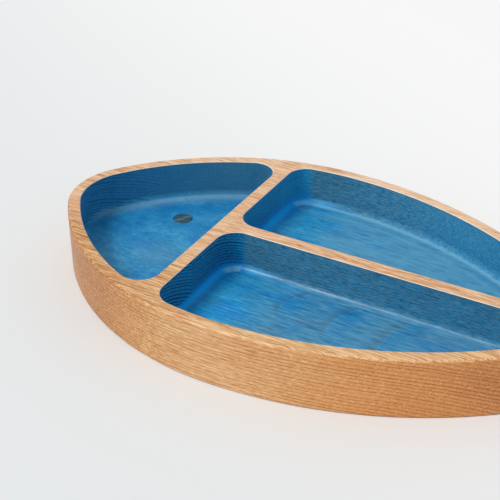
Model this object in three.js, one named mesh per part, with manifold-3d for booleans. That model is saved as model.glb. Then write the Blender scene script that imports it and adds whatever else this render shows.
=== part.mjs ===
// Serving dish with three compartments, routed from a blank of edge-glued wooden staves.
// The outline is a lens of tangent arcs, blunt at the nose and drawn out at the tail.
// A cross wall parts off the head compartment, and a spine parts the two long compartments.
// A round plug is let into the floor of the head compartment.
// Millimetres, +Z up, +X towards the tail, origin at the centre of the base.

import * as THREE from 'three';
import { mergeVertices } from 'three/addons/utils/BufferGeometryUtils.js';
import Module from 'manifold-3d';

// Outline of the blank: x is measured from the widest station.
const HALF_WIDTH = 112;
const NOSE_SIDE_RADIUS = 194;
const TAIL_SIDE_RADIUS = 282;
const NOSE_RADIUS = 49;
const TAIL_RADIUS = 25;

// Heights: the floor's thickness and the compartments' depth make up the dish's height.
const FLOOR = 14;
const POCKET_DEPTH = 29;

// Compartments: walls left standing, and the radii that the routing cutter leaves.
const RIM = 9;
const CROSS_WALL = 10;
const CROSS_WALL_AHEAD = 45;
const SPINE_WALL = 10.5;
const CUTTER_RADIUS = 15;
const COVE_RADIUS = 5;

// Eased edges.
const TOP_ROUND = 2;
const BASE_ROUND = 1.5;
const POCKET_CHAMFER = 0.8;

// Glue joints, at this distance on both sides of the centre line.
const JOINT_OFFSET = 52;

// Eye plug, placed from the cross wall and the centre line.
const EYE_DIAMETER = 14;
const EYE_DEPTH = 6;
const EYE_AHEAD = 56;
const EYE_OFFSET = 32;
const EYE_CHAMFER = 0.4;
const EYE_CLEARANCE = 0.25;

// Smoothness of the facets, and how far a cutter runs past the wood.
const CURVE_SEGMENTS = 7;
const ROUND_SEGMENTS = 4;
const EYE_SEGMENTS = 32;
const OVERRUN = 6;

// Looks: oiled wood for the staves, and a dark wood washed with blue for the plug.
const STAVE_COLOR = 0xdcae80;
const MIDDLE_COLOR = 0xd6a678;
const STAVE_ROUGHNESS = 0.55;
const EYE_COLOR = 0x34515c;
const EYE_ROUGHNESS = 0.45;

const height = FLOOR + POCKET_DEPTH;
const crossX = -CROSS_WALL_AHEAD;
const eyeSeat = FLOOR - EYE_DEPTH;

// A side is two arcs that meet at the widest station. These are their centres for the far side.
const noseSideY = HALF_WIDTH - NOSE_SIDE_RADIUS;
const tailSideY = HALF_WIDTH - TAIL_SIDE_RADIUS;

// A tip's circle lies on the centre line and touches both side arcs from inside.
const noseX = -Math.sqrt((NOSE_SIDE_RADIUS - NOSE_RADIUS) ** 2 - noseSideY ** 2);
const tailX = Math.sqrt((TAIL_SIDE_RADIUS - TAIL_RADIUS) ** 2 - tailSideY ** 2);
const noseAngle = Math.atan2(-noseSideY, noseX);
const tailAngle = Math.atan2(-tailSideY, tailX);
const noseEnd = noseX - NOSE_RADIUS;
const tailEnd = tailX + TAIL_RADIUS;

// The compartments follow the blank's arcs, one rim further in.
const noseSideInner = NOSE_SIDE_RADIUS - RIM;
const tailSideInner = TAIL_SIDE_RADIUS - RIM;
const noseInner = NOSE_RADIUS - RIM;

function blankOutline() {
  const shape = new THREE.Shape();
  const turn = 2 * Math.PI;
  shape.absarc(tailX, 0, TAIL_RADIUS, -tailAngle, tailAngle);
  shape.absarc(0, tailSideY, TAIL_SIDE_RADIUS, tailAngle, turn / 4);
  shape.absarc(0, noseSideY, NOSE_SIDE_RADIUS, turn / 4, noseAngle);
  shape.absarc(noseX, 0, NOSE_RADIUS, noseAngle, turn - noseAngle);
  shape.absarc(0, -noseSideY, NOSE_SIDE_RADIUS, turn - noseAngle, turn * 0.75);
  shape.absarc(0, -tailSideY, TAIL_SIDE_RADIUS, turn * 0.75, turn - tailAngle);
  return shape;
}

// The head compartment: nose arc, two side arcs, and cutter radii against the cross wall.
function headOutline() {
  const shape = new THREE.Shape();
  const turn = 2 * Math.PI;
  const cornerX = crossX - CROSS_WALL / 2 - CUTTER_RADIUS;
  const reach = Math.sqrt((noseSideInner - CUTTER_RADIUS) ** 2 - cornerX ** 2);
  const cornerY = noseSideY + reach;
  const cornerAngle = Math.atan2(reach, cornerX);
  shape.absarc(cornerX, cornerY, CUTTER_RADIUS, 0, cornerAngle);
  shape.absarc(0, noseSideY, noseSideInner, cornerAngle, noseAngle);
  shape.absarc(noseX, 0, noseInner, noseAngle, turn - noseAngle);
  shape.absarc(0, -noseSideY, noseSideInner, turn - noseAngle, turn - cornerAngle);
  shape.absarc(cornerX, -cornerY, CUTTER_RADIUS, turn - cornerAngle, turn);
  return shape;
}

// A long compartment on the far side: cutter radii at its three corners, two side arcs between.
function longOutline() {
  const shape = new THREE.Shape();
  const cornerX = crossX + CROSS_WALL / 2 + CUTTER_RADIUS;
  const spineY = SPINE_WALL / 2 + CUTTER_RADIUS;
  const noseReach = Math.sqrt((noseSideInner - CUTTER_RADIUS) ** 2 - cornerX ** 2);
  const cornerAngle = Math.atan2(noseReach, cornerX);
  const tailRise = spineY - tailSideY;
  const tipX = Math.sqrt((tailSideInner - CUTTER_RADIUS) ** 2 - tailRise ** 2);
  const tipAngle = Math.atan2(tailRise, tipX);
  shape.absarc(cornerX, spineY, CUTTER_RADIUS, Math.PI, 1.5 * Math.PI);
  shape.absarc(tipX, spineY, CUTTER_RADIUS, -Math.PI / 2, tipAngle);
  shape.absarc(0, tailSideY, tailSideInner, tipAngle, Math.PI / 2);
  shape.absarc(0, noseSideY, noseSideInner, Math.PI / 2, cornerAngle);
  shape.absarc(cornerX, noseSideY + noseReach, CUTTER_RADIUS, cornerAngle, Math.PI);
  return shape;
}

// The same outline on the near side of the centre line.
function mirrored(outline) {
  const points = outline.getPoints(CURVE_SEGMENTS);
  return new THREE.Shape(points.map((point) => new THREE.Vector2(point.x, -point.y)));
}

const wasm = await Module();
wasm.setup();

function solidOf(geometry) {
  geometry.deleteAttribute('normal');
  geometry.deleteAttribute('uv');
  const merged = mergeVertices(geometry);
  const mesh = new wasm.Mesh({
    numProp: 3,
    vertProperties: new Float32Array(merged.attributes.position.array),
    triVerts: new Uint32Array(merged.index.array),
  });
  return new wasm.Manifold(mesh);
}

// A prism whose end edges are eased inwards, from z low to z high.
function easedPrism(outline, low, high, ease, segments) {
  const geometry = new THREE.ExtrudeGeometry(outline, {
    depth: high - low - 2 * ease,
    curveSegments: CURVE_SEGMENTS,
    bevelThickness: ease,
    bevelSize: ease,
    bevelOffset: -ease,
    bevelSegments: segments,
  });
  return geometry.translate(0, 0, low + ease);
}

// The top and base edges are rounded, each on a prism that runs past the other end.
function blankSolid() {
  const outline = blankOutline();
  const topped = easedPrism(outline, -TOP_ROUND - OVERRUN, height, TOP_ROUND, ROUND_SEGMENTS);
  const based = easedPrism(outline, 0, height + BASE_ROUND + OVERRUN, BASE_ROUND, ROUND_SEGMENTS);
  return solidOf(topped).intersect(solidOf(based));
}

// A compartment's cutter: coved at the floor, and flared at the top to break the edge.
function pocketSolid(outline) {
  const top = height + COVE_RADIUS + OVERRUN;
  const coved = easedPrism(outline, FLOOR, top, COVE_RADIUS, ROUND_SEGMENTS);
  const flared = new THREE.ExtrudeGeometry(outline, {
    depth: OVERRUN,
    curveSegments: CURVE_SEGMENTS,
    bevelThickness: POCKET_CHAMFER,
    bevelSize: POCKET_CHAMFER,
    bevelSegments: 1,
  });
  flared.translate(0, 0, height);
  return solidOf(coved).add(solidOf(flared));
}

// A profile of [radius, z] pairs, turned about the eye's axis.
function turnedAtEye(profile) {
  const points = profile.map(([radius, z]) => new THREE.Vector2(radius, z));
  const geometry = new THREE.LatheGeometry(points, EYE_SEGMENTS);
  geometry.rotateX(Math.PI / 2);
  return geometry.translate(crossX - EYE_AHEAD, EYE_OFFSET, 0);
}

// The plug stands on the bottom of its socket, flush with the floor, with a broken top edge.
function eyePlug() {
  const radius = EYE_DIAMETER / 2;
  return turnedAtEye([
    [0, eyeSeat],
    [radius, eyeSeat],
    [radius, FLOOR - EYE_CHAMFER],
    [radius - EYE_CHAMFER, FLOOR],
    [0, FLOOR],
  ]);
}

function eyeSocket() {
  const radius = EYE_DIAMETER / 2 + EYE_CLEARANCE;
  const mouth = FLOOR + OVERRUN;
  return turnedAtEye([[0, eyeSeat], [radius, eyeSeat], [radius, mouth], [0, mouth]]);
}

// Everything beyond one glue joint, on the far side for side = 1 and the near side for side = -1.
function beyondJoint(side) {
  const span = HALF_WIDTH + OVERRUN;
  const slab = new THREE.BoxGeometry(
    tailEnd - noseEnd + 2 * OVERRUN,
    span - JOINT_OFFSET,
    height + 2 * OVERRUN,
  );
  slab.translate((noseEnd + tailEnd) / 2, side * (JOINT_OFFSET + span) / 2, height / 2);
  return solidOf(slab);
}

function pieceOf(name, geometry, color, roughness) {
  geometry.computeVertexNormals();
  const material = new THREE.MeshStandardMaterial({ color, roughness, metalness: 0 });
  const mesh = new THREE.Mesh(geometry, material);
  mesh.name = name;
  return mesh;
}

function geometryOf(solid) {
  const mesh = solid.getMesh();
  const geometry = new THREE.BufferGeometry();
  geometry.setAttribute('position', new THREE.BufferAttribute(mesh.vertProperties, 3));
  geometry.setIndex(new THREE.BufferAttribute(mesh.triVerts, 1));
  return geometry;
}

const carved = blankSolid()
  .subtract(pocketSolid(headOutline()))
  .subtract(pocketSolid(longOutline()))
  .subtract(pocketSolid(mirrored(longOutline())))
  .subtract(solidOf(eyeSocket()));
const beyondNear = beyondJoint(-1);
const beyondFar = beyondJoint(1);
const near = geometryOf(carved.intersect(beyondNear));
const middle = geometryOf(carved.subtract(beyondNear).subtract(beyondFar));
const far = geometryOf(carved.intersect(beyondFar));

const dish = new THREE.Group();
dish.position.x = -(noseEnd + tailEnd) / 2;
dish.add(
  pieceOf('stave_near', near, STAVE_COLOR, STAVE_ROUGHNESS),
  pieceOf('stave_middle', middle, MIDDLE_COLOR, STAVE_ROUGHNESS),
  pieceOf('stave_far', far, STAVE_COLOR, STAVE_ROUGHNESS),
  pieceOf('eye_plug', eyePlug(), EYE_COLOR, EYE_ROUGHNESS),
);

export default dish;
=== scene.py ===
import math
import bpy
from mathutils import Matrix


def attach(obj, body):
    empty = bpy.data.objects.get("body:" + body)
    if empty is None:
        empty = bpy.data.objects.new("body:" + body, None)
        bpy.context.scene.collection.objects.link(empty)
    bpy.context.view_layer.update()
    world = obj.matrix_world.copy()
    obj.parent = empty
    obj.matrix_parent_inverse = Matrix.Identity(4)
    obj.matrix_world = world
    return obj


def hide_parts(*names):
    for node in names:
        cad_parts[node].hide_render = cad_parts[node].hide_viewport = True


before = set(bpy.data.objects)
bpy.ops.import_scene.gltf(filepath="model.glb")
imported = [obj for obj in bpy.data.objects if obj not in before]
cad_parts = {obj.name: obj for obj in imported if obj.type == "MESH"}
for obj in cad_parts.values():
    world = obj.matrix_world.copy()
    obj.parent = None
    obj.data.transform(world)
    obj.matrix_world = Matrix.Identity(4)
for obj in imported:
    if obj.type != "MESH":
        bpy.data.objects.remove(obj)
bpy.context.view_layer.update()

from types import SimpleNamespace

import bmesh
import bpy
from mathutils import Vector

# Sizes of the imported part, in millimetres. x is measured from the widest station of the outline.
HALF_WIDTH = 112.0
NOSE_SIDE_RADIUS = 194.0
TAIL_SIDE_RADIUS = 282.0
NOSE_RADIUS = 49.0
TAIL_RADIUS = 25.0
FLOOR = 14.0
POCKET_DEPTH = 29.0
RIM = 9.0
CROSS_WALL = 10.0
CROSS_WALL_AHEAD = 45.0
SPINE_WALL = 10.5
CUTTER_RADIUS = 15.0
COVE_RADIUS = 5.0
TOP_ROUND = 2.0
BASE_ROUND = 1.5
POCKET_EDGE = 0.8
JOINT_OFFSET = 52.0
EYE_DIAMETER = 14.0
EYE_DEPTH = 6.0
EYE_AHEAD = 56.0
EYE_OFFSET = 32.0
EYE_EDGE = 0.4
EYE_CLEARANCE = 0.25

# Small rounds at the foot of the eye and at the mouth of its socket, in millimetres
EYE_FOOT = 0.3
SOCKET_EDGE = 0.2

# Points along an outline: spacing, largest turn between two, fewest in an arc, and number in a circle
POINT_STEP = 2.0
POINT_TURN = math.radians(3.0)
ARC_POINTS = 3
CIRCLE_POINTS = 72

# Steps in each quarter round, and how many steps of a pocket's edge stay bare
BASE_STEPS = 3
TOP_STEPS = 8
POCKET_EDGE_STEPS = 4
BARE_EDGE_STEPS = 3
COVE_STEPS = 10
SOCKET_STEPS = 3
EYE_FOOT_STEPS = 2
EYE_EDGE_STEPS = 5

# Distance within which a vertex counts as lying on a cutting plane, in metres
ON_PLANE = 1e-7

# Stage floor: half its width in metres, its front and back colours, and the way and distances in millimetres
# over which one turns into the other
STAGE_REACH = 12.0
# Painted light: the stage floor is darker at the front and paler towards the back
STAGE_FRONT = (0.745, 0.77, 0.78)
STAGE_BACK = (0.96, 0.96, 0.96)
STAGE_BACKWARD = (0.5, 0.87)
STAGE_FADE = (-250.0, 450.0)

# Light: strength of the white world, and the key lamp in metres and watts
WORLD_STRENGTH = 0.56
KEY_PLACE = (-2.55, -3.4, 5.27)
KEY_SIZE = 2.72
KEY_POWER = 286.0

# Camera: place in metres, angle below level, turn about the vertical, lens and sensor in millimetres
CAMERA_PLACE = (0.2680, -0.5670, 0.4360)
CAMERA_DOWN = math.radians(32.19)
CAMERA_TURN = math.radians(29.28)
CAMERA_LENS = 79.56
CAMERA_SENSOR = 36.0

# A millimetre in metres, a full turn, and values that follow from the sizes
MM = 0.001
TURN = 2 * math.pi
HEIGHT = FLOOR + POCKET_DEPTH
CROSS_X = -CROSS_WALL_AHEAD
HEAD_WALL_X = CROSS_X - CROSS_WALL / 2
LONG_WALL_X = CROSS_X + CROSS_WALL / 2
NOSE_WALL = NOSE_SIDE_RADIUS - RIM
TAIL_WALL = TAIL_SIDE_RADIUS - RIM
NOSE_SIDE_Y = HALF_WIDTH - NOSE_SIDE_RADIUS
TAIL_SIDE_Y = HALF_WIDTH - TAIL_SIDE_RADIUS
NOSE_X = -math.sqrt((NOSE_SIDE_RADIUS - NOSE_RADIUS) ** 2 - NOSE_SIDE_Y ** 2)
TAIL_X = math.sqrt((TAIL_SIDE_RADIUS - TAIL_RADIUS) ** 2 - TAIL_SIDE_Y ** 2)
NOSE_ANGLE = math.atan2(-NOSE_SIDE_Y, NOSE_X)
TAIL_ANGLE = math.atan2(-TAIL_SIDE_Y, TAIL_X)
MIDDLE_X = (NOSE_X - NOSE_RADIUS + TAIL_X + TAIL_RADIUS) / 2
EYE_X = CROSS_X - EYE_AHEAD

# Material slots of a stave, the ways that a wall faces, and the ways that a level face looks
BARE, STAINED = 0, 1
OUTWARD, INWARD = 1, -1
UP, DOWN = 1, -1


# Outlines: lists of (x, y, outward normal x, outward normal y), anticlockwise

def around(cx, cy, radius, start, end, count):
    points = []
    for i in range(count):
        angle = start + (end - start) * i / count
        nx, ny = math.cos(angle), math.sin(angle)
        points.append((cx + radius * nx, cy + radius * ny, nx, ny))
    return points


def arc(cx, cy, radius, start, end):
    by_length = math.ceil(abs(end - start) * radius / POINT_STEP)
    by_turn = math.ceil(abs(end - start) / POINT_TURN)
    return around(cx, cy, radius, start, end, max(by_length, by_turn, ARC_POINTS))


def circle(cx, cy, radius):
    return around(cx, cy, radius, 0, TURN, CIRCLE_POINTS)


def straight(x0, y0, x1, y1, nx, ny):
    count = max(1, math.ceil(math.hypot(x1 - x0, y1 - y0) / (2 * POINT_STEP)))
    return [(x0 + (x1 - x0) * i / count, y0 + (y1 - y0) * i / count, nx, ny) for i in range(count)]


def blank_outline():
    return (
        arc(TAIL_X, 0, TAIL_RADIUS, -TAIL_ANGLE, TAIL_ANGLE)
        + arc(0, TAIL_SIDE_Y, TAIL_SIDE_RADIUS, TAIL_ANGLE, TURN / 4)
        + arc(0, NOSE_SIDE_Y, NOSE_SIDE_RADIUS, TURN / 4, NOSE_ANGLE)
        + arc(NOSE_X, 0, NOSE_RADIUS, NOSE_ANGLE, TURN - NOSE_ANGLE)
        + arc(0, -NOSE_SIDE_Y, NOSE_SIDE_RADIUS, TURN - NOSE_ANGLE, TURN * 3 / 4)
        + arc(0, -TAIL_SIDE_Y, TAIL_SIDE_RADIUS, TURN * 3 / 4, TURN - TAIL_ANGLE)
    )


def head_outline():
    corner_x = HEAD_WALL_X - CUTTER_RADIUS
    reach = math.sqrt((NOSE_WALL - CUTTER_RADIUS) ** 2 - corner_x ** 2)
    corner_y = NOSE_SIDE_Y + reach
    angle = math.atan2(reach, corner_x)
    return (
        straight(HEAD_WALL_X, -corner_y, HEAD_WALL_X, corner_y, 1, 0)
        + arc(corner_x, corner_y, CUTTER_RADIUS, 0, angle)
        + arc(0, NOSE_SIDE_Y, NOSE_WALL, angle, NOSE_ANGLE)
        + arc(NOSE_X, 0, NOSE_RADIUS - RIM, NOSE_ANGLE, TURN - NOSE_ANGLE)
        + arc(0, -NOSE_SIDE_Y, NOSE_WALL, TURN - NOSE_ANGLE, TURN - angle)
        + arc(corner_x, -corner_y, CUTTER_RADIUS, TURN - angle, TURN)
    )


def long_outline():
    corner_x = LONG_WALL_X + CUTTER_RADIUS
    reach = math.sqrt((NOSE_WALL - CUTTER_RADIUS) ** 2 - corner_x ** 2)
    corner_y = NOSE_SIDE_Y + reach
    angle = math.atan2(reach, corner_x)
    face_y = SPINE_WALL / 2
    spine_y = face_y + CUTTER_RADIUS
    rise = spine_y - TAIL_SIDE_Y
    tip_x = math.sqrt((TAIL_WALL - CUTTER_RADIUS) ** 2 - rise ** 2)
    tip_angle = math.atan2(rise, tip_x)
    return (
        straight(LONG_WALL_X, corner_y, LONG_WALL_X, spine_y, -1, 0)
        + arc(corner_x, spine_y, CUTTER_RADIUS, TURN / 2, TURN * 3 / 4)
        + straight(corner_x, face_y, tip_x, face_y, 0, -1)
        + arc(tip_x, spine_y, CUTTER_RADIUS, -TURN / 4, tip_angle)
        + arc(0, TAIL_SIDE_Y, TAIL_WALL, tip_angle, TURN / 4)
        + arc(0, NOSE_SIDE_Y, NOSE_WALL, TURN / 4, angle)
        + arc(corner_x, corner_y, CUTTER_RADIUS, angle, TURN / 2)
    )


def mirrored(outline):
    return [(x, -y, nx, -ny) for x, y, nx, ny in reversed(outline)]


# Profiles: lists of (inset from the outline, z, angle of the surface's normal above level), ring by ring

# Signs of a quarter round: of its inset, of its height beside the level end, and of its angle. FOOT and
# BROW are the lower and upper edge of a block. MOUTH and COVE are the edge of a hole and the foot of its wall.
FOOT, BROW, MOUTH, COVE = (1, 1, -1), (1, -1, 1), (-1, -1, 1), (1, 1, 1)


def quarter_round(radius, z, steps, signs):
    """A quarter round from upright to level. Its level end is at z."""
    inward, upward, turned = signs
    profile = []
    for i in range(steps + 1):
        angle = TURN / 4 * i / steps
        inset = inward * radius * (1 - math.cos(angle))
        profile.append((inset, z + upward * radius * (1 - math.sin(angle)), turned * angle))
    return profile


def blank_profile():
    base = quarter_round(BASE_ROUND, 0.0, BASE_STEPS, FOOT)
    return base[::-1] + quarter_round(TOP_ROUND, HEIGHT, TOP_STEPS, BROW)


def pocket_profile():
    edge = quarter_round(POCKET_EDGE, HEIGHT, POCKET_EDGE_STEPS, MOUTH)
    return edge[::-1] + quarter_round(COVE_RADIUS, FLOOR, COVE_STEPS, COVE)


def socket_profile():
    edge = quarter_round(SOCKET_EDGE, FLOOR, SOCKET_STEPS, MOUTH)
    return edge[::-1] + [(0, FLOOR - EYE_DEPTH, 0)]


def eye_profile():
    foot = quarter_round(EYE_FOOT, FLOOR - EYE_DEPTH, EYE_FOOT_STEPS, FOOT)
    return foot[::-1] + quarter_round(EYE_EDGE, FLOOR, EYE_EDGE_STEPS, BROW)


# Meshes

def fill_flat(bm, edges, normal):
    """Triangles between closed loops of edges, all facing along the normal."""
    made = bmesh.ops.triangle_fill(bm, use_beauty=True, edges=edges, normal=normal)
    faces = [item for item in made["geom"] if isinstance(item, bmesh.types.BMFace)]
    for face in faces:
        face.normal_update()
        if face.normal.dot(Vector(normal)) < 0:
            face.normal_flip()
    return faces


class Carving:
    """A mesh under construction, with the true surface normal kept at each vertex."""

    def __init__(self):
        self.bm = bmesh.new()
        self.normal = self.bm.verts.layers.float_vector.new("surface_normal")

    def ring(self, outline, inset, z, tilt, facing):
        loop = []
        for x, y, nx, ny in outline:
            vert = self.bm.verts.new(((x - nx * inset - MIDDLE_X) * MM, (y - ny * inset) * MM, z * MM))
            flat = facing * math.cos(tilt)
            vert[self.normal] = (nx * flat, ny * flat, math.sin(tilt))
            loop.append(vert)
        return loop

    def skin(self, outline, profile, facing, material, bare_steps=0):
        """A wall of rings along an outline, bare on its first steps. Returns the first and last ring."""
        rings = [self.ring(outline, inset, z, tilt, facing) for inset, z, tilt in profile]
        for step in range(len(rings) - 1):
            low, high = rings[step], rings[step + 1]
            for i in range(len(low)):
                j = (i + 1) % len(low)
                face = self.bm.faces.new((low[i], low[j], high[j], high[i]))
                face.material_index = BARE if step < bare_steps else material
        return rings[0], rings[-1]

    def sheet(self, loops, way, material):
        """A level face between loops of vertices: the first is the outside, the others are holes."""
        edges = []
        for loop in loops:
            for i in range(len(loop)):
                edges.append(self.bm.edges.get((loop[i], loop[(i + 1) % len(loop)])))
        for face in fill_flat(self.bm, edges, (0, 0, way)):
            face.material_index = material


def carve_socket(carving):
    """The hole for the eye. Returns the ring at its mouth."""
    outline = circle(EYE_X, EYE_OFFSET, EYE_DIAMETER / 2 + EYE_CLEARANCE)
    mouth, seat = carving.skin(outline, socket_profile(), INWARD, STAINED)
    carving.sheet([seat], UP, STAINED)
    return mouth


def carve_dish():
    """The whole blank with its three pockets and the socket, before it is cut into staves."""
    carving = Carving()
    base, top = carving.skin(blank_outline(), blank_profile(), OUTWARD, BARE)
    carving.sheet([base], DOWN, BARE)
    rims = [top]
    far = long_outline()
    for outline, has_eye in ((head_outline(), True), (far, False), (mirrored(far), False)):
        rim, floor = carving.skin(outline, pocket_profile(), INWARD, STAINED, BARE_EDGE_STEPS)
        rims.append(rim)
        holes = [carve_socket(carving)] if has_eye else []
        carving.sheet([floor] + holes, UP, STAINED)
    carving.sheet(rims, UP, BARE)
    return carving


def cut_stave(carving, name, low, high):
    """The part of the dish between two planes across y, closed where it was cut."""
    bm = carving.bm.copy()
    cap = bm.faces.layers.int.new("glue_face")
    for limit, way in ((low, -1), (high, 1)):
        if limit is None:
            continue
        cut = bmesh.ops.bisect_plane(
            bm,
            geom=bm.verts[:] + bm.edges[:] + bm.faces[:],
            dist=ON_PLANE,
            plane_co=(0, limit * MM, 0),
            plane_no=(0, way, 0),
            clear_outer=True,
        )
        edges = [item for item in cut["geom_cut"] if isinstance(item, bmesh.types.BMEdge)]
        for face in fill_flat(bm, edges, (0, way, 0)):
            face.material_index = BARE
            face[cap] = 1
    return mesh_object(bm, name)


def mesh_object(bm, name):
    """An object whose shading follows the kept normals, and the face's own normal on glue faces."""
    mesh = bpy.data.meshes.new(name)
    bm.to_mesh(mesh)
    bm.free()
    mesh.shade_smooth()
    kept = mesh.attributes["surface_normal"].data
    glued = mesh.attributes.get("glue_face")
    normals = [None] * len(mesh.loops)
    for face in mesh.polygons:
        flat = glued is not None and glued.data[face.index].value
        for index in face.loop_indices:
            normal = face.normal if flat else Vector(kept[mesh.loops[index].vertex_index].vector)
            normals[index] = normal.normalized()
    mesh.normals_split_custom_set(normals)
    for attribute in ("surface_normal", "glue_face"):
        if attribute in mesh.attributes:
            mesh.attributes.remove(mesh.attributes[attribute])
    piece = bpy.data.objects.new(name, mesh)
    bpy.context.scene.collection.objects.link(piece)
    return piece


def turn_eye():
    carving = Carving()
    outline = circle(EYE_X, EYE_OFFSET, EYE_DIAMETER / 2)
    base, top = carving.skin(outline, eye_profile(), OUTWARD, BARE)
    carving.sheet([base], DOWN, BARE)
    carving.sheet([top], UP, BARE)
    return mesh_object(carving.bm, "eye")


# Shader building

class Graph:
    """Short calls for adding shader nodes. A value may be a socket or a plain number."""

    def __init__(self, tree):
        self.tree = tree

    def node(self, kind, **settings):
        node = self.tree.nodes.new(kind)
        for key, value in settings.items():
            setattr(node, key, value)
        return node

    def put(self, socket, value):
        if isinstance(value, bpy.types.NodeSocket):
            self.tree.links.new(value, socket)
        else:
            socket.default_value = value

    def math(self, operation, a, b=0.0, c=0.0):
        node = self.node("ShaderNodeMath", operation=operation)
        for socket, value in zip(node.inputs, (a, b, c)):
            self.put(socket, value)
        return node.outputs[0]

    def times(self, value, *others):
        for other in others:
            value = self.math("MULTIPLY", value, other)
        return value

    def minus(self, a, b):
        return self.math("SUBTRACT", a, b)

    def inverse(self, value):
        return self.math("SUBTRACT", 1.0, value)

    def scaled(self, value, factor, offset):
        return self.math("MULTIPLY_ADD", value, factor, offset)

    def larger(self, a, b):
        return self.math("MAXIMUM", a, b)

    def length(self, a, b):
        return self.math("SQRT", self.math("ADD", self.times(a, a), self.times(b, b)))

    def weighted(self, terms, offset=0.0):
        total = offset
        for value, weight in terms:
            total = self.scaled(value, weight, total)
        return total

    def smooth(self, value, low, high):
        """A smooth rise from 0 at low to 1 at high."""
        node = self.node("ShaderNodeMapRange", interpolation_type="SMOOTHSTEP")
        self.put(node.inputs["Value"], value)
        self.put(node.inputs["From Min"], low)
        self.put(node.inputs["From Max"], high)
        return node.outputs["Result"]

    def below(self, value, low, high):
        """A smooth fall from 1 at low to 0 at high."""
        return self.inverse(self.smooth(value, low, high))

    def band(self, value, low, full, fading, high):
        """0 up to low, 1 from full to fading, and 0 again from high."""
        return self.times(self.smooth(value, low, full), self.below(value, fading, high))

    def vector(self, operation, a, b):
        node = self.node("ShaderNodeVectorMath", operation=operation)
        self.put(node.inputs[0], a)
        self.put(node.inputs[1], b)
        return node.outputs[0]

    def noise(self, vector, scale, detail, roughness=0.5, shift=None):
        """Noise of about -0.5 to 0.5 on a vector, moved by shift and then stretched by scale."""
        if shift is not None:
            vector = self.vector("ADD", vector, shift)
        node = self.node("ShaderNodeTexNoise")
        self.put(node.inputs["Vector"], self.vector("MULTIPLY", vector, scale))
        node.inputs["Scale"].default_value = 1.0
        node.inputs["Detail"].default_value = detail
        node.inputs["Roughness"].default_value = roughness
        return self.minus(node.outputs["Fac"], 0.5)

    def noise_line(self, value, scale):
        """Noise of about -0.5 to 0.5 along a single value."""
        node = self.node("ShaderNodeTexNoise", noise_dimensions="1D")
        self.put(node.inputs["W"], value)
        node.inputs["Scale"].default_value = scale
        node.inputs["Detail"].default_value = 1.0
        return self.minus(node.outputs["Fac"], 0.5)

    def ramp(self, value, stops):
        node = self.node("ShaderNodeValToRGB")
        elements = node.color_ramp.elements
        while len(elements) < len(stops):
            elements.new(0.5)
        for element, (position, color) in zip(elements, stops):
            element.position = position
            element.color = (*color, 1.0)
        self.put(node.inputs["Fac"], value)
        return node.outputs["Color"]

    def mix(self, factor, a, b, blend="MIX"):
        node = self.node("ShaderNodeMix", data_type="RGBA", blend_type=blend)
        self.put(node.inputs[0], factor)
        for socket, value in ((node.inputs[6], a), (node.inputs[7], b)):
            self.put(socket, value if isinstance(value, bpy.types.NodeSocket) else (*value, 1.0))
        return node.outputs[2]

    def tint(self, color, mask, strength, target):
        """The colour, moved towards a target by the strength where the mask is 1."""
        return self.mix(self.times(mask, strength), color, target)

    def place(self):
        """The place on the dish in millimetres: whole, x, y and z."""
        place = self.vector("MULTIPLY", self.node("ShaderNodeTexCoord").outputs["Object"], (1000, 1000, 1000))
        split = self.node("ShaderNodeSeparateXYZ")
        self.put(split.inputs[0], place)
        return (place, *split.outputs)

    def facing(self):
        """How far the surface faces along x, either way, and upwards."""
        split = self.node("ShaderNodeSeparateXYZ")
        self.put(split.inputs[0], self.node("ShaderNodeTexCoord").outputs["Normal"])
        return self.math("ABSOLUTE", split.outputs["X"]), split.outputs["Z"]

    def spot(self, place, center, size):
        """1 at a centre, fading to 0 at a distance of size, in millimetres along each axis."""
        node = self.node("ShaderNodeVectorMath", operation="LENGTH")
        self.put(node.inputs[0], self.vector("DIVIDE", self.vector("SUBTRACT", place, center), size))
        return self.below(node.outputs["Value"], 0.0, 1.0)

    def spots(self, place, marks):
        """Terms for weighted from marks, each a centre, a size and a weight."""
        return [(self.spot(place, center, size), weight) for center, size, weight in marks]


def new_material(name):
    material = bpy.data.materials.new(name)
    material.use_nodes = True
    tree = material.node_tree
    return material, Graph(tree), tree.nodes["Principled BSDF"]


def add_bump(g, shader, height, strength, depth):
    """Relief from a height, with its depth in millimetres."""
    bump = g.node("ShaderNodeBump")
    bump.inputs["Strength"].default_value = strength
    bump.inputs["Distance"].default_value = depth * MM
    g.put(bump.inputs["Height"], height)
    g.put(shader.inputs["Normal"], bump.outputs["Normal"])


# Grain

GRAIN_INPUTS = ("pith y", "pith z", "tilt y", "tilt z", "pitch", "sway", "seed")
GRAIN_OUTPUTS = ("ring", "fibre", "fine", "thread", "pore", "fleck", "broad")

# Millimetres that the noise moves along x, y and z for each unit of the seed, and farther on for the flecks
SEED_SHIFT = (137.0, 91.0, 53.0)
FLECK_SHIFT = (400.0, 400.0, 400.0)

# Each stave: limits in y, tint, y and z of the pith, its slopes along x, ring pitch, waviness and seed
STAVES = {
    "stave_near": dict(
        low=None, high=-JOINT_OFFSET, tint=(1.0, 0.97, 0.93),
        pith=(-138.0, -125.0), tilt=(0.0, 0.004), pitch=2.5, sway=5.0, seed=3.1,
    ),
    "stave_middle": dict(
        low=-JOINT_OFFSET, high=JOINT_OFFSET, tint=(1.0, 0.965, 1.06),
        pith=(-58.0, -205.0), tilt=(0.01, 0.03), pitch=2.3, sway=6.0, seed=7.7,
    ),
    "stave_far": dict(
        low=JOINT_OFFSET, high=None, tint=(1.04, 1.07, 1.26),
        pith=(90.0, -190.0), tilt=(0.0, 0.01), pitch=2.2, sway=6.0, seed=11.3,
    ),
}
EYE_GRAIN = dict(pith=(20.0, -40.0), tilt=(0.3, 0.0), pitch=1.6, sway=4.0, seed=21.0)


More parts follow.
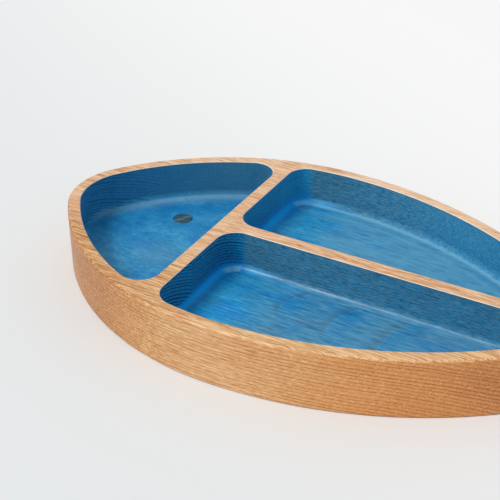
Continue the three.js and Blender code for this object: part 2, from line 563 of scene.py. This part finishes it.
def ring_phase(g, given, seeded, x, y, z):
    """How many growth rings lie between the pith line and a place."""
    sway = g.times(g.noise(seeded, (0.005, 0.022, 0.022), 1.0), given["sway"])
    waver = g.times(g.noise(seeded, (0.03, 0.11, 0.11), 2.0), 1.1)
    across = g.minus(g.minus(y, given["pith y"]), g.times(x, given["tilt y"]))
    above = g.minus(g.minus(z, given["pith z"]), g.times(x, given["tilt z"]))
    radius = g.math("ADD", g.math("ADD", g.length(across, above), sway), waver)
    uneven = g.times(g.noise_line(g.math("ADD", radius, given["seed"]), 0.13), 3.0)
    return g.math("DIVIDE", g.math("ADD", radius, uneven), given["pitch"])


def grain_group():
    """Growth rings about a pith line near the x axis, with fibre streaks, pores and flecks."""
    tree = bpy.data.node_groups.new("ring_porous_grain", "ShaderNodeTree")
    for names, way in ((GRAIN_INPUTS, "INPUT"), (GRAIN_OUTPUTS, "OUTPUT")):
        for name in names:
            tree.interface.new_socket(name, in_out=way, socket_type="NodeSocketFloat")
    g = Graph(tree)
    given = g.node("NodeGroupInput").outputs
    result = g.node("NodeGroupOutput").inputs
    place, x, y, z = g.place()
    shift = g.node("ShaderNodeCombineXYZ")
    for socket, factor in zip(shift.inputs, SEED_SHIFT):
        g.put(socket, g.times(given["seed"], factor))
    seeded = g.vector("ADD", place, shift.outputs[0])

    # Early wood fills the first part of each ring, more strongly in some rings than in others
    phase = ring_phase(g, given, seeded, x, y, z)
    luck = g.node("ShaderNodeTexWhiteNoise", noise_dimensions="1D")
    g.put(luck.inputs["W"], g.math("ADD", g.math("FLOOR", phase), given["seed"]))
    early = g.band(g.math("FRACT", phase), 0.0, 0.08, 0.12, 0.58)
    dash = g.smooth(g.noise(seeded, (0.16, 1.9, 1.9), 1.0), 0.08, 0.2)
    made = dict(
        ring=g.times(early, g.scaled(luck.outputs["Value"], 0.6, 0.5)),
        fibre=g.noise(seeded, (0.03, 0.5, 0.5), 3.0, 0.6),
        fine=g.noise(seeded, (0.09, 1.5, 1.5), 2.0, 0.6),
        thread=g.minus(g.smooth(g.noise(seeded, (0.05, 1.7, 1.7), 1.0), -0.16, 0.16), 0.5),
        pore=g.times(dash, g.scaled(early, 0.8, 0.2)),
        fleck=g.smooth(g.noise(seeded, (0.2, 1.05, 1.05), 1.0, shift=FLECK_SHIFT), 0.05, 0.2),
        broad=g.noise(seeded, (0.007, 0.03, 0.03), 2.0),
    )
    for name, value in made.items():
        g.put(result[name], value)
    return tree


def grain_of(g, group, stave):
    node = g.node("ShaderNodeGroup", node_tree=group)
    values = (*stave["pith"], *stave["tilt"], stave["pitch"], stave["sway"], stave["seed"])
    for socket, value in zip(node.inputs, values):
        socket.default_value = value
    return node.outputs


def wood_relief(g, grain):
    return g.weighted([(grain["fine"], 0.5), (grain["pore"], -0.9), (grain["ring"], -0.25)])


# Bare wood

BARE_TONES = (
    (0.0, (0.84, 0.60, 0.36)),
    (0.35, (0.70, 0.415, 0.19)),
    (0.65, (0.54, 0.255, 0.086)),
    (1.0, (0.33, 0.125, 0.034)),
)
# Multipliers that darken and warm the side walls: partly the wood's own tone, partly painted shade
WARM_SHADE = (0.95, 0.69, 0.41)
NOSE_SIDE = (0.94, 0.96, 0.78)
# Pale colour of the painted highlight on the pockets' rounded edges
EDGE_HIGHLIGHT = (0.90, 0.86, 0.80)

# Small dark marks on the rim and the spine: centre, size and weight
BARE_MARKS = (
    ((-127.0, -82.8, 40.0), (1.82, 1.82, 1.82), 0.6),
    ((-11.0, -1.5, 43.0), (4.55, 1.67, 1.67), 0.3),
    ((41.7, -3.0, 43.0), (4.55, 1.67, 1.67), 0.3),
)


def bare_masks(g):
    """Where a place lies on the bare wood."""
    m = SimpleNamespace()
    m.place, m.x, m.y, m.z = g.place()
    nx, m.nz = g.facing()
    # Walls that face along the dish, the level top, and upright walls
    m.ends = g.smooth(nx, 0.35, 0.9)
    m.level = g.smooth(m.nz, 0.2, 0.8)
    m.side = g.inverse(m.level)
    # The near side towards the nose, and the walls towards the tail, where rings show as long lines
    m.nose = g.times(g.below(m.x, -125.0, -15.0), g.below(m.y, -75.0, 0.0))
    m.lined = g.times(m.side, g.smooth(m.x, -30.0, 60.0))
    # Rounded edges in the front half, darkened as painted shade to dim their highlight
    m.brow = g.times(g.band(m.nz, 0.15, 0.5, 0.9, 0.99), g.below(m.x, -60.0, 0.0))
    return m


def bare_darkness(g, grain, m):
    plainer = g.scaled(m.lined, -0.4, 1.0)
    return g.weighted([
        (grain["ring"], 0.17),
        (g.times(grain["ring"], m.side), 0.11),
        (g.times(grain["ring"], m.lined), 0.13),
        (g.times(grain["fibre"], plainer), 0.62),
        (g.times(grain["fine"], plainer), 0.72),
        (g.times(grain["thread"], plainer), 0.26),
        (g.times(grain["thread"], m.level), 0.30),
        (grain["pore"], 0.38),
        (g.times(grain["pore"], m.nose), 0.20),
        (grain["fleck"], -0.30),
        (grain["broad"], 0.40),
        (g.times(g.smooth(m.z, HEIGHT - 7.0, HEIGHT - 1.0), m.lined), -0.08),
        (m.brow, 0.14),
        (m.ends, 0.20),
        (m.nose, 0.25),
        (g.times(m.nose, m.side), 0.09),
        (g.smooth(m.y, 65.0, 100.0), -0.12),
        (m.side, 0.01),
        *g.spots(m.place, BARE_MARKS),
    ], 0.31)


def bare_wood(name, group, stave):
    material, g, shader = new_material(name)
    grain = grain_of(g, group, stave)
    m = bare_masks(g)
    tones = [(at, [c * t for c, t in zip(color, stave["tint"])]) for at, color in BARE_TONES]
    color = g.ramp(bare_darkness(g, grain, m), tones)
    # Side walls darker and warmer towards the tail and on the near side by the nose: partly the wood's own
    # tone, partly painted shade on walls turned from the light
    warm_shade = g.smooth(g.scaled(grain["broad"], 90.0, m.x), -50.0, 100.0)
    warm_shade = g.times(m.side, g.scaled(m.nose, 0.45, warm_shade))
    color = g.mix(warm_shade, color, WARM_SHADE, "MULTIPLY")
    color = g.mix(g.times(m.nose, m.side), color, NOSE_SIDE, "MULTIPLY")
    # On the outer round, z less the round's own rise stays at the shoulder. On a pocket's edge it is higher,
    # so the pale painted highlight lands on the pockets' edges.
    shoulder = HEIGHT - TOP_ROUND
    edge_highlight = g.smooth(g.scaled(m.nz, -TOP_ROUND, m.z), shoulder + 0.05, shoulder + 0.3)
    color = g.tint(color, edge_highlight, 0.75, EDGE_HIGHLIGHT)
    g.put(shader.inputs["Base Color"], color)
    g.put(shader.inputs["Roughness"], g.weighted([(grain["fibre"], 0.15), (grain["pore"], 0.1)], 0.52))
    shader.inputs["Sheen Weight"].default_value = 0.12
    add_bump(g, shader, wood_relief(g, grain), strength=0.35, depth=0.12)
    return material


# Stained wood

# Where the head gives way to the long compartments in x, and the near one to the far one in y
HEAD_FADE = (-80.0, -66.0)
FAR_FADE = (-10.0, 10.0)
# Where the corners beside the cross wall end
CORNER_FADE = (-55.5, -46.5)

TONE_SHIFT = (700.0, 300.0, 100.0)
BRUSH_SHIFT = (50.0, 60.0, 70.0)
DASH_SHIFT = (90.0, 40.0, 20.0)

STAIN_TONES = (
    (0.0, (0.09, 0.39, 0.63)),
    (0.3, (0.020, 0.26, 0.52)),
    (0.6, (0.007, 0.15, 0.34)),
    (1.0, (0.002, 0.035, 0.09)),
)
CLEAR_BLUE = (0.003, 0.18, 0.50)
WORN_NEAR, WORN_FAR = (0.12, 0.28, 0.39), (0.12, 0.33, 0.48)
FADED_WALL = (0.055, 0.145, 0.155)
BROWNED = (0.11, 0.21, 0.24)
LINE_BLUE = (0.006, 0.21, 0.47)
CHALK_WALL, CHALK_FLOOR = (0.13, 0.26, 0.32), (0.16, 0.38, 0.54)
INK = (0.004, 0.07, 0.15)
HEAD_BLUE = (0.003, 0.15, 0.40)
# Colours of painted light in the coves: greys for the head's far cove, a pale highlight for the far
# compartment's cove, and brighter blues at the foot of the cross wall and in its corners
GREY_FLOOR, GREY_COVE = (0.13, 0.235, 0.305), (0.18, 0.34, 0.46)
FAR_HIGHLIGHT_BLUE = (0.18, 0.44, 0.61)
COVE_LIGHT_NEAR, COVE_LIGHT_FAR = (0.0, 0.27, 0.74), (0.004, 0.33, 0.82)
CORNER_LIGHT_BLUE = (0.002, 0.40, 0.98)
CORNER_HIGHLIGHT_BLUE = (0.19, 0.56, 0.80)
LIT_BLUE = (0.06, 0.42, 0.78)

# Colours that multiply the stain, for the near and the far long compartment
WET_NEAR, WET_FAR = (0.45, 1.12, 1.20), (0.65, 1.0, 1.02)
RICH_NEAR, RICH_FAR = (0.30, 1.02, 1.06), (0.25, 0.90, 0.98)

# Darker spots: centre, size and weight. The last, in the head's far corner by the cross wall, is painted
# shade; the others are smudges.
STAIN_MARKS = (
    ((-152.2, 10.9, FLOOR), (4.0, 4.0, 4.0), 0.20),
    ((-48.0, -20.0, FLOOR), (22.2, 20.0, 20.0), 0.10),
    ((-150.0, 5.0, FLOOR), (35.7, 45.5, 20.0), 0.10),
    ((-124.0, -40.0, FLOOR), (20.0, 20.0, 20.0), 0.12),
    ((-112.0, -36.0, FLOOR), (25.0, 25.0, 20.0), 0.10),
    # Painted shade in the head's far corner by the cross wall
    ((-87.0, 93.0, 36.0), (16.7, 16.7, 20.0), 0.22),
)
# A worn grey patch on the head's floor, and a brown one in the near compartment: centre and size
GREY_MARK = ((-112.0, -20.0, FLOOR), (35.7, 25.0, 20.0))
BROWN_MARK = ((-52.0, -50.0, FLOOR), (16.7, 8.33, 8.33))

# Cathedral lines on the near floor: x and y of the tip, and how fast the line bends back
CATHEDRALS = ((-8.0, -32.0, 0.025), (29.5, -38.0, 0.012), (65.0, -43.0, 0.0075))


def cathedral_lines(g, grain, x, y):
    """Smudged curved lines, fading towards the nose, and the deeper stain on their tail side."""
    waver = g.weighted([(grain["broad"], 10.0), (grain["fibre"], 6.0), (grain["fine"], 3.0)], x)
    lines = deeper = 0.0
    for tip_x, tip_y, bend in CATHEDRALS:
        behind = g.minus(y, tip_y)
        off = g.scaled(g.times(behind, behind), -bend, g.minus(waver, tip_x))
        reach = g.times(g.smooth(behind, -16.0, 0.0), g.below(y, -12.0, -5.0))
        lines = g.scaled(g.band(off, -7.0, -0.3, -0.3, 0.8), reach, lines)
        deeper = g.scaled(g.band(off, -0.5, 3.0, 5.0, 26.0), reach, deeper)
    return lines, deeper


def stain_masks(g, grain):
    """Where a place lies in the compartments, and the noises that break up the stain there."""
    m = SimpleNamespace()
    m.place, m.x, m.y, m.z = g.place()
    nx, m.nz = g.facing()
    m.floor = g.smooth(m.nz, 0.6, 0.97)
    m.upright = g.inverse(m.floor)
    m.cove = g.band(m.nz, 0.1, 0.35, 0.9, 0.995)
    m.low_cove = g.below(m.z, FLOOR + 1.5, FLOOR + 4.0)
    # 1 on walls that face along the dish, 0 on walls that face across it, at any slope
    m.toward = g.math("DIVIDE", nx, g.math("SQRT", g.minus(1.0001, g.times(m.nz, m.nz))))
    m.squarely = g.smooth(m.toward, 0.45, 0.9)

    m.long = g.smooth(m.x, *HEAD_FADE)
    m.head = g.inverse(m.long)
    m.beyond = g.smooth(m.y, *FAR_FADE)
    m.past = g.smooth(g.scaled(m.beyond, 2.0, m.x), *CORNER_FADE)
    m.corner = g.times(m.long, g.inverse(m.past))

    # End walls with their corners, where rings show clearly on them, side walls, and their speckled part
    m.turned = g.larger(m.corner, m.squarely)
    m.ends = g.times(m.upright, m.turned)
    m.shown = g.times(m.ends, g.scaled(g.times(m.long, g.smooth(m.y, 2.0, 14.0)), -0.8, 1.0))
    m.side = g.minus(m.upright, m.ends)
    m.flecked = g.times(m.upright, g.inverse(g.larger(m.turned, g.smooth(m.toward, 0.12, 0.4))))
    m.far_wall = g.times(m.upright, g.smooth(m.y, 55.0, 80.0))
    # Floors of the long compartments near the cross wall
    m.wet = g.times(m.long, g.below(m.x, -46.0, 0.0), m.floor)

    m.mottle = g.noise(m.place, (0.045, 0.06, 0.06), 4.0, 0.7)
    m.felt = g.noise(m.place, (0.30, 0.55, 0.55), 3.0, 0.65)
    m.tone = g.noise(m.place, (0.022, 0.045, 0.045), 3.0, 0.6, TONE_SHIFT)
    m.calmer = g.scaled(m.head, -0.6, 1.0)
    weave = g.noise(m.place, (0.22, 1.15, 1.15), 2.0, 0.6)
    m.weave = g.times(weave, g.scaled(m.head, -1.0, 1.2), m.flecked)
    brush = g.noise(m.place, (0.065, 0.5, 0.5), 2.0, 0.6, BRUSH_SHIFT)
    m.brush = g.times(brush, m.calmer, g.scaled(m.beyond, -0.25, 1.0), g.scaled(m.wet, -0.4, 1.0), m.floor)
    dashes = g.smooth(g.noise(m.place, (0.33, 1.25, 1.25), 1.0, shift=DASH_SHIFT), 0.0, 0.14)
    m.dashes = g.times(dashes, m.flecked, m.calmer)
    m.lines, m.deeper = [g.times(m.floor, mask) for mask in cathedral_lines(g, grain, m.x, m.y)]
    return m


def stain_darkness(g, grain, m):
    lively = g.inverse(g.times(m.floor, g.scaled(m.head, 0.22, 0.18)))
    lively = g.scaled(m.head, -0.35, lively)
    head_floor = g.times(m.floor, m.head)
    above_cove = g.times(m.far_wall, m.past, g.below(m.z, FLOOR + 6.0, FLOOR + 13.0))
    return g.weighted([
        (g.times(grain["ring"], m.flecked), 0.12),
        (g.times(grain["ring"], m.shown, m.calmer), 0.72),
        (g.times(grain["fibre"], lively), 0.42),
        (g.times(grain["fine"], lively), 0.85),
        (g.times(grain["thread"], lively), 0.28),
        (g.times(grain["pore"], lively), 0.22),
        (grain["broad"], 0.35),
        (m.weave, 0.65),
        (m.brush, 0.35),
        (g.times(m.mottle, m.floor), 0.65),
        (g.times(m.mottle, head_floor), 0.25),
        (g.times(m.felt, m.floor), 0.50),
        (g.times(m.felt, head_floor), 0.25),
        (m.lines, 0.30),
        (head_floor, -0.05),
        (g.times(m.floor, m.beyond, m.past), -0.04),
        (g.times(m.far_wall, m.long), -0.13),
        (above_cove, 0.12),
        (m.shown, 0.06),
        (g.minus(m.ends, m.shown), -0.10),
        # Darker just under the mouth of each pocket: partly stain gathered at the edge, partly painted shade
        # under the rim
        (g.times(g.smooth(m.z, HEIGHT - 2.0, HEIGHT - 0.7), m.upright), 0.15),
        *g.spots(m.place, STAIN_MARKS),
    ], 0.32)


def base_stain(g, grain, m):
    """The stain by darkness, clearer and more worn in places, faded on side walls and browned by flecks."""
    color = g.ramp(stain_darkness(g, grain, m), STAIN_TONES)
    color = g.tint(color, g.times(m.floor, g.smooth(m.tone, 0.0, 0.2)), 0.6, CLEAR_BLUE)

    far_floor = g.times(g.smooth(m.y, 10.0, 50.0), g.smooth(m.x, -60.0, -10.0))
    near_floor = g.times(g.smooth(m.x, -45.0, -15.0), g.inverse(m.beyond))
    far_start = g.times(g.below(m.x, -45.0, -12.0), m.beyond, m.long)
    trend = g.weighted([(m.x, -0.0022), (far_floor, -0.13), (near_floor, -0.05), (far_start, 0.16)], m.tone)
    worn = g.times(m.floor, g.smooth(trend, 0.13, -0.22))
    worn = g.larger(worn, g.times(g.spot(m.place, *GREY_MARK), 0.7))
    color = g.tint(color, worn, 0.5, g.mix(far_floor, WORN_NEAR, WORN_FAR))

    faded = g.weighted([(g.smooth(m.x, -40.0, 60.0), -0.14), (g.smooth(m.x, -48.0, -15.0), -0.10)], 0.48)
    color = g.tint(color, m.side, faded, FADED_WALL)
    brown = g.weighted([
        (grain["fleck"], 0.10),
        (m.dashes, 0.48),
        (m.lines, 0.18),
        # Browner just under the mouth of the side walls: partly stain, partly painted shade under the rim
        (g.times(g.smooth(m.z, HEIGHT - 2.5, HEIGHT - 0.6), m.side), 0.35),
        (g.spot(m.place, *BROWN_MARK), 0.35),
    ])
    color = g.mix(g.math("MINIMUM", brown, 0.8), color, BROWNED)
    color = g.tint(color, m.deeper, 0.5, LINE_BLUE)
    return g.mix(m.wet, color, g.mix(m.beyond, WET_NEAR, WET_FAR), "MULTIPLY")


def speckled(g, m, color):
    """Pale and inky specks on the side walls, and streaks on the floors."""
    speck = g.math("ADD", m.weave, m.brush)
    color = g.tint(color, g.smooth(speck, 0.0, -0.22), 0.45, g.mix(m.floor, CHALK_WALL, CHALK_FLOOR))
    return g.tint(color, g.smooth(speck, 0.0, 0.22), 0.45, INK)


def inset_from(g, m, wall, centre_y):
    """Millimetres from an arc of the far wall, inwards, with the arc's centre on the widest station."""
    return g.minus(wall, g.length(g.math("ADD", m.x, MIDDLE_X), g.minus(m.y, centre_y)))


def head_cove(g, m, color):
    """A paler grey band along the head's far cove, painted light where the cove faces up, and the deeper blue
    of the floor beside it.
    """
    inset = inset_from(g, m, NOSE_WALL, NOSE_SIDE_Y)
    deep = g.times(g.band(inset, 5.0, 14.0, 20.0, 60.0), m.head, g.scaled(m.mottle, 1.2, 0.6), m.floor)
    color = g.tint(color, deep, 0.8, HEAD_BLUE)
    ragged = g.scaled(m.felt, -9.0, inset)
    # Painted light: a paler grey band on the lower cove of the head's far wall
    lit_cove_band = g.times(g.smooth(inset, 1.0, 2.5), g.below(ragged, 4.0, 15.0), m.low_cove)
    lit_cove_band = g.times(lit_cove_band, m.head, g.smooth(m.y, -30.0, 45.0), g.scaled(m.mottle, 0.9, 0.55))
    return g.tint(color, lit_cove_band, 0.9, g.mix(g.below(inset, 5.0, 8.0), GREY_FLOOR, GREY_COVE))


def far_cove_highlight(g, m, color):
    """A painted highlight: a pale line along the far compartment's cove, and a fainter one beside it."""
    ragged = g.scaled(m.felt, -4.0, inset_from(g, m, TAIL_WALL, TAIL_SIDE_Y))
    far_highlight = g.scaled(g.band(ragged, 11.0, 12.5, 13.0, 16.0), 0.4, g.band(ragged, 2.0, 3.5, 4.5, 7.0))
    return g.tint(color, g.times(far_highlight, m.beyond, m.long, m.low_cove), 0.65, FAR_HIGHLIGHT_BLUE)


def cross_wall_light(g, m, color):
    """Brighter blue at the foot of the cross wall in the long compartments, painted light in the cove; the end
    walls there are first made a purer blue.
    """
    color = g.mix(g.times(m.ends, m.corner), color, g.mix(m.beyond, RICH_NEAR, RICH_FAR), "MULTIPLY")
    foot = g.below(g.scaled(m.mottle, 5.0, m.z), FLOOR + 0.5, FLOOR + 10.0)
    foot = g.times(foot, m.turned, g.below(m.nz, 0.93, 0.999))
    strip = g.times(g.below(g.scaled(m.mottle, 8.0, m.x), -59.0, -51.5), m.floor, 0.65)
    # Painted light: a brighter blue in the coves at the foot of the end walls and on a floor strip beside the
    # cross wall
    cove_light = g.times(g.larger(foot, strip), g.scaled(g.smooth(m.y, -68.0, -38.0), 0.6, 0.4), m.long, 0.85)
    return g.mix(cove_light, color, g.mix(m.beyond, COVE_LIGHT_NEAR, COVE_LIGHT_FAR))


def corner_coves(g, m, color):
    """Painted light on the coves in the corners beside the cross wall: a bright blue with a pale painted
    highlight over it, and a lighter blue just after the corners under the highlight there.
    """
    corner_light = g.times(g.band(m.nz, 0.2, 0.65, 0.88, 1.0), m.corner, g.smooth(m.toward, 0.1, 0.3))
    color = g.tint(color, corner_light, 0.75, CORNER_LIGHT_BLUE)
    corner_highlight = g.times(g.band(m.toward, 0.12, 0.35, 0.86, 1.0), m.corner, g.smooth(m.nz, 0.45, 0.8))
    color = g.tint(color, corner_highlight, g.scaled(m.felt, 1.6, 0.75), CORNER_HIGHLIGHT_BLUE)
    lit = g.times(g.below(m.x, -48.0, -18.0), m.long, m.cove, g.inverse(m.corner))
    return g.tint(color, lit, 0.6, LIT_BLUE)


def stained_wood(name, group, stave):
    material, g, shader = new_material(name)
    grain = grain_of(g, group, stave)
    m = stain_masks(g, grain)
    color = base_stain(g, grain, m)
    for layer in (speckled, head_cove, far_cove_highlight, cross_wall_light, corner_coves):
        color = layer(g, m, color)
    g.put(shader.inputs["Base Color"], color)
    g.put(shader.inputs["Roughness"], g.weighted([
        (grain["fibre"], 0.2),
        (grain["pore"], 0.1),
        (g.times(m.cove, g.inverse(m.squarely)), -0.14),
        (g.times(m.cove, g.smooth(m.y, 35.0, 60.0)), 0.40),
        (g.times(m.squarely, g.larger(m.cove, m.ends)), 0.45),
    ], 0.46))
    shader.inputs["Specular IOR Level"].default_value = 0.28
    add_bump(g, shader, wood_relief(g, grain), strength=0.3, depth=0.1)
    return material


# The eye

EYE_TONES = (
    (0.0, (0.13, 0.24, 0.28)),
    (0.5, (0.028, 0.092, 0.128)),
    (1.0, (0.012, 0.030, 0.038)),
)
# Direction across the pale streak through the middle of the eye
STREAK_ACROSS = (0.86, -0.5)


def eye_wood(group):
    material, g, shader = new_material("dark_plug")
    grain = grain_of(g, group, EYE_GRAIN)
    _, x, y, _ = g.place()
    across_x, across_y = STREAK_ACROSS
    middle = (EYE_X - MIDDLE_X) * across_x + EYE_OFFSET * across_y
    off = g.math("ABSOLUTE", g.weighted([(x, across_x), (y, across_y), (grain["fibre"], 3.0)], -middle))
    dark = g.weighted([
        (grain["ring"], 0.3),
        (grain["fibre"], 0.8),
        (grain["fine"], 0.6),
        (grain["pore"], 0.3),
        (g.below(off, 0.3, 2.6), -0.38),
    ], 0.55)
    g.put(shader.inputs["Base Color"], g.ramp(dark, EYE_TONES))
    g.put(shader.inputs["Roughness"], g.weighted([(grain["fibre"], 0.2)], 0.45))
    relief = g.weighted([(grain["fine"], 0.5), (grain["pore"], -0.8)])
    add_bump(g, shader, relief, strength=0.35, depth=0.1)
    return material


# The scene

def build_dish():
    group = grain_group()
    carving = carve_dish()
    for name, stave in STAVES.items():
        piece = cut_stave(carving, name + "_wood", stave["low"], stave["high"])
        piece.data.materials.append(bare_wood(name + "_oiled", group, stave))
        piece.data.materials.append(stained_wood(name + "_stained", group, stave))
        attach(piece, "root")
        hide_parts(name)
    carving.bm.free()
    eye = turn_eye()
    eye.data.materials.append(eye_wood(group))
    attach(eye, "root")
    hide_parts("eye_plug")


def build_stage():
    bm = bmesh.new()
    bmesh.ops.create_grid(bm, x_segments=1, y_segments=1, size=STAGE_REACH)
    mesh = bpy.data.meshes.new("floor")
    bm.to_mesh(mesh)
    bm.free()
    floor = bpy.data.objects.new("floor", mesh)
    bpy.context.scene.collection.objects.link(floor)
    material, g, shader = new_material("pale_floor")
    _, x, y, _ = g.place()
    # Painted light: darker at the front, paler towards the back
    back = g.smooth(g.weighted(zip((x, y), STAGE_BACKWARD)), *STAGE_FADE)
    g.put(shader.inputs["Base Color"], g.mix(back, STAGE_FRONT, STAGE_BACK))
    shader.inputs["Roughness"].default_value = 0.9
    mesh.materials.append(material)


def build_light():
    world = bpy.data.worlds.new("studio")
    world.use_nodes = True
    background = world.node_tree.nodes["Background"]
    background.inputs["Color"].default_value = (1.0, 1.0, 1.0, 1.0)
    background.inputs["Strength"].default_value = WORLD_STRENGTH
    bpy.context.scene.world = world
    light = bpy.data.lights.new("key", "AREA")
    light.shape = "DISK"
    light.size = KEY_SIZE
    light.energy = KEY_POWER
    lamp = bpy.data.objects.new("key", light)
    lamp.location = KEY_PLACE
    lamp.rotation_euler = (-Vector(KEY_PLACE)).to_track_quat("-Z", "Y").to_euler()
    bpy.context.scene.collection.objects.link(lamp)


def build_camera():
    data = bpy.data.cameras.new("camera")
    data.sensor_width = CAMERA_SENSOR
    data.lens = CAMERA_LENS
    camera = bpy.data.objects.new("camera", data)
    camera.location = CAMERA_PLACE
    camera.rotation_euler = (TURN / 4 - CAMERA_DOWN, 0.0, CAMERA_TURN)
    bpy.context.scene.collection.objects.link(camera)
    bpy.context.scene.camera = camera


build_dish()
build_stage()
build_light()
build_camera()
bpy.context.scene.view_settings.view_transform = "Standard"
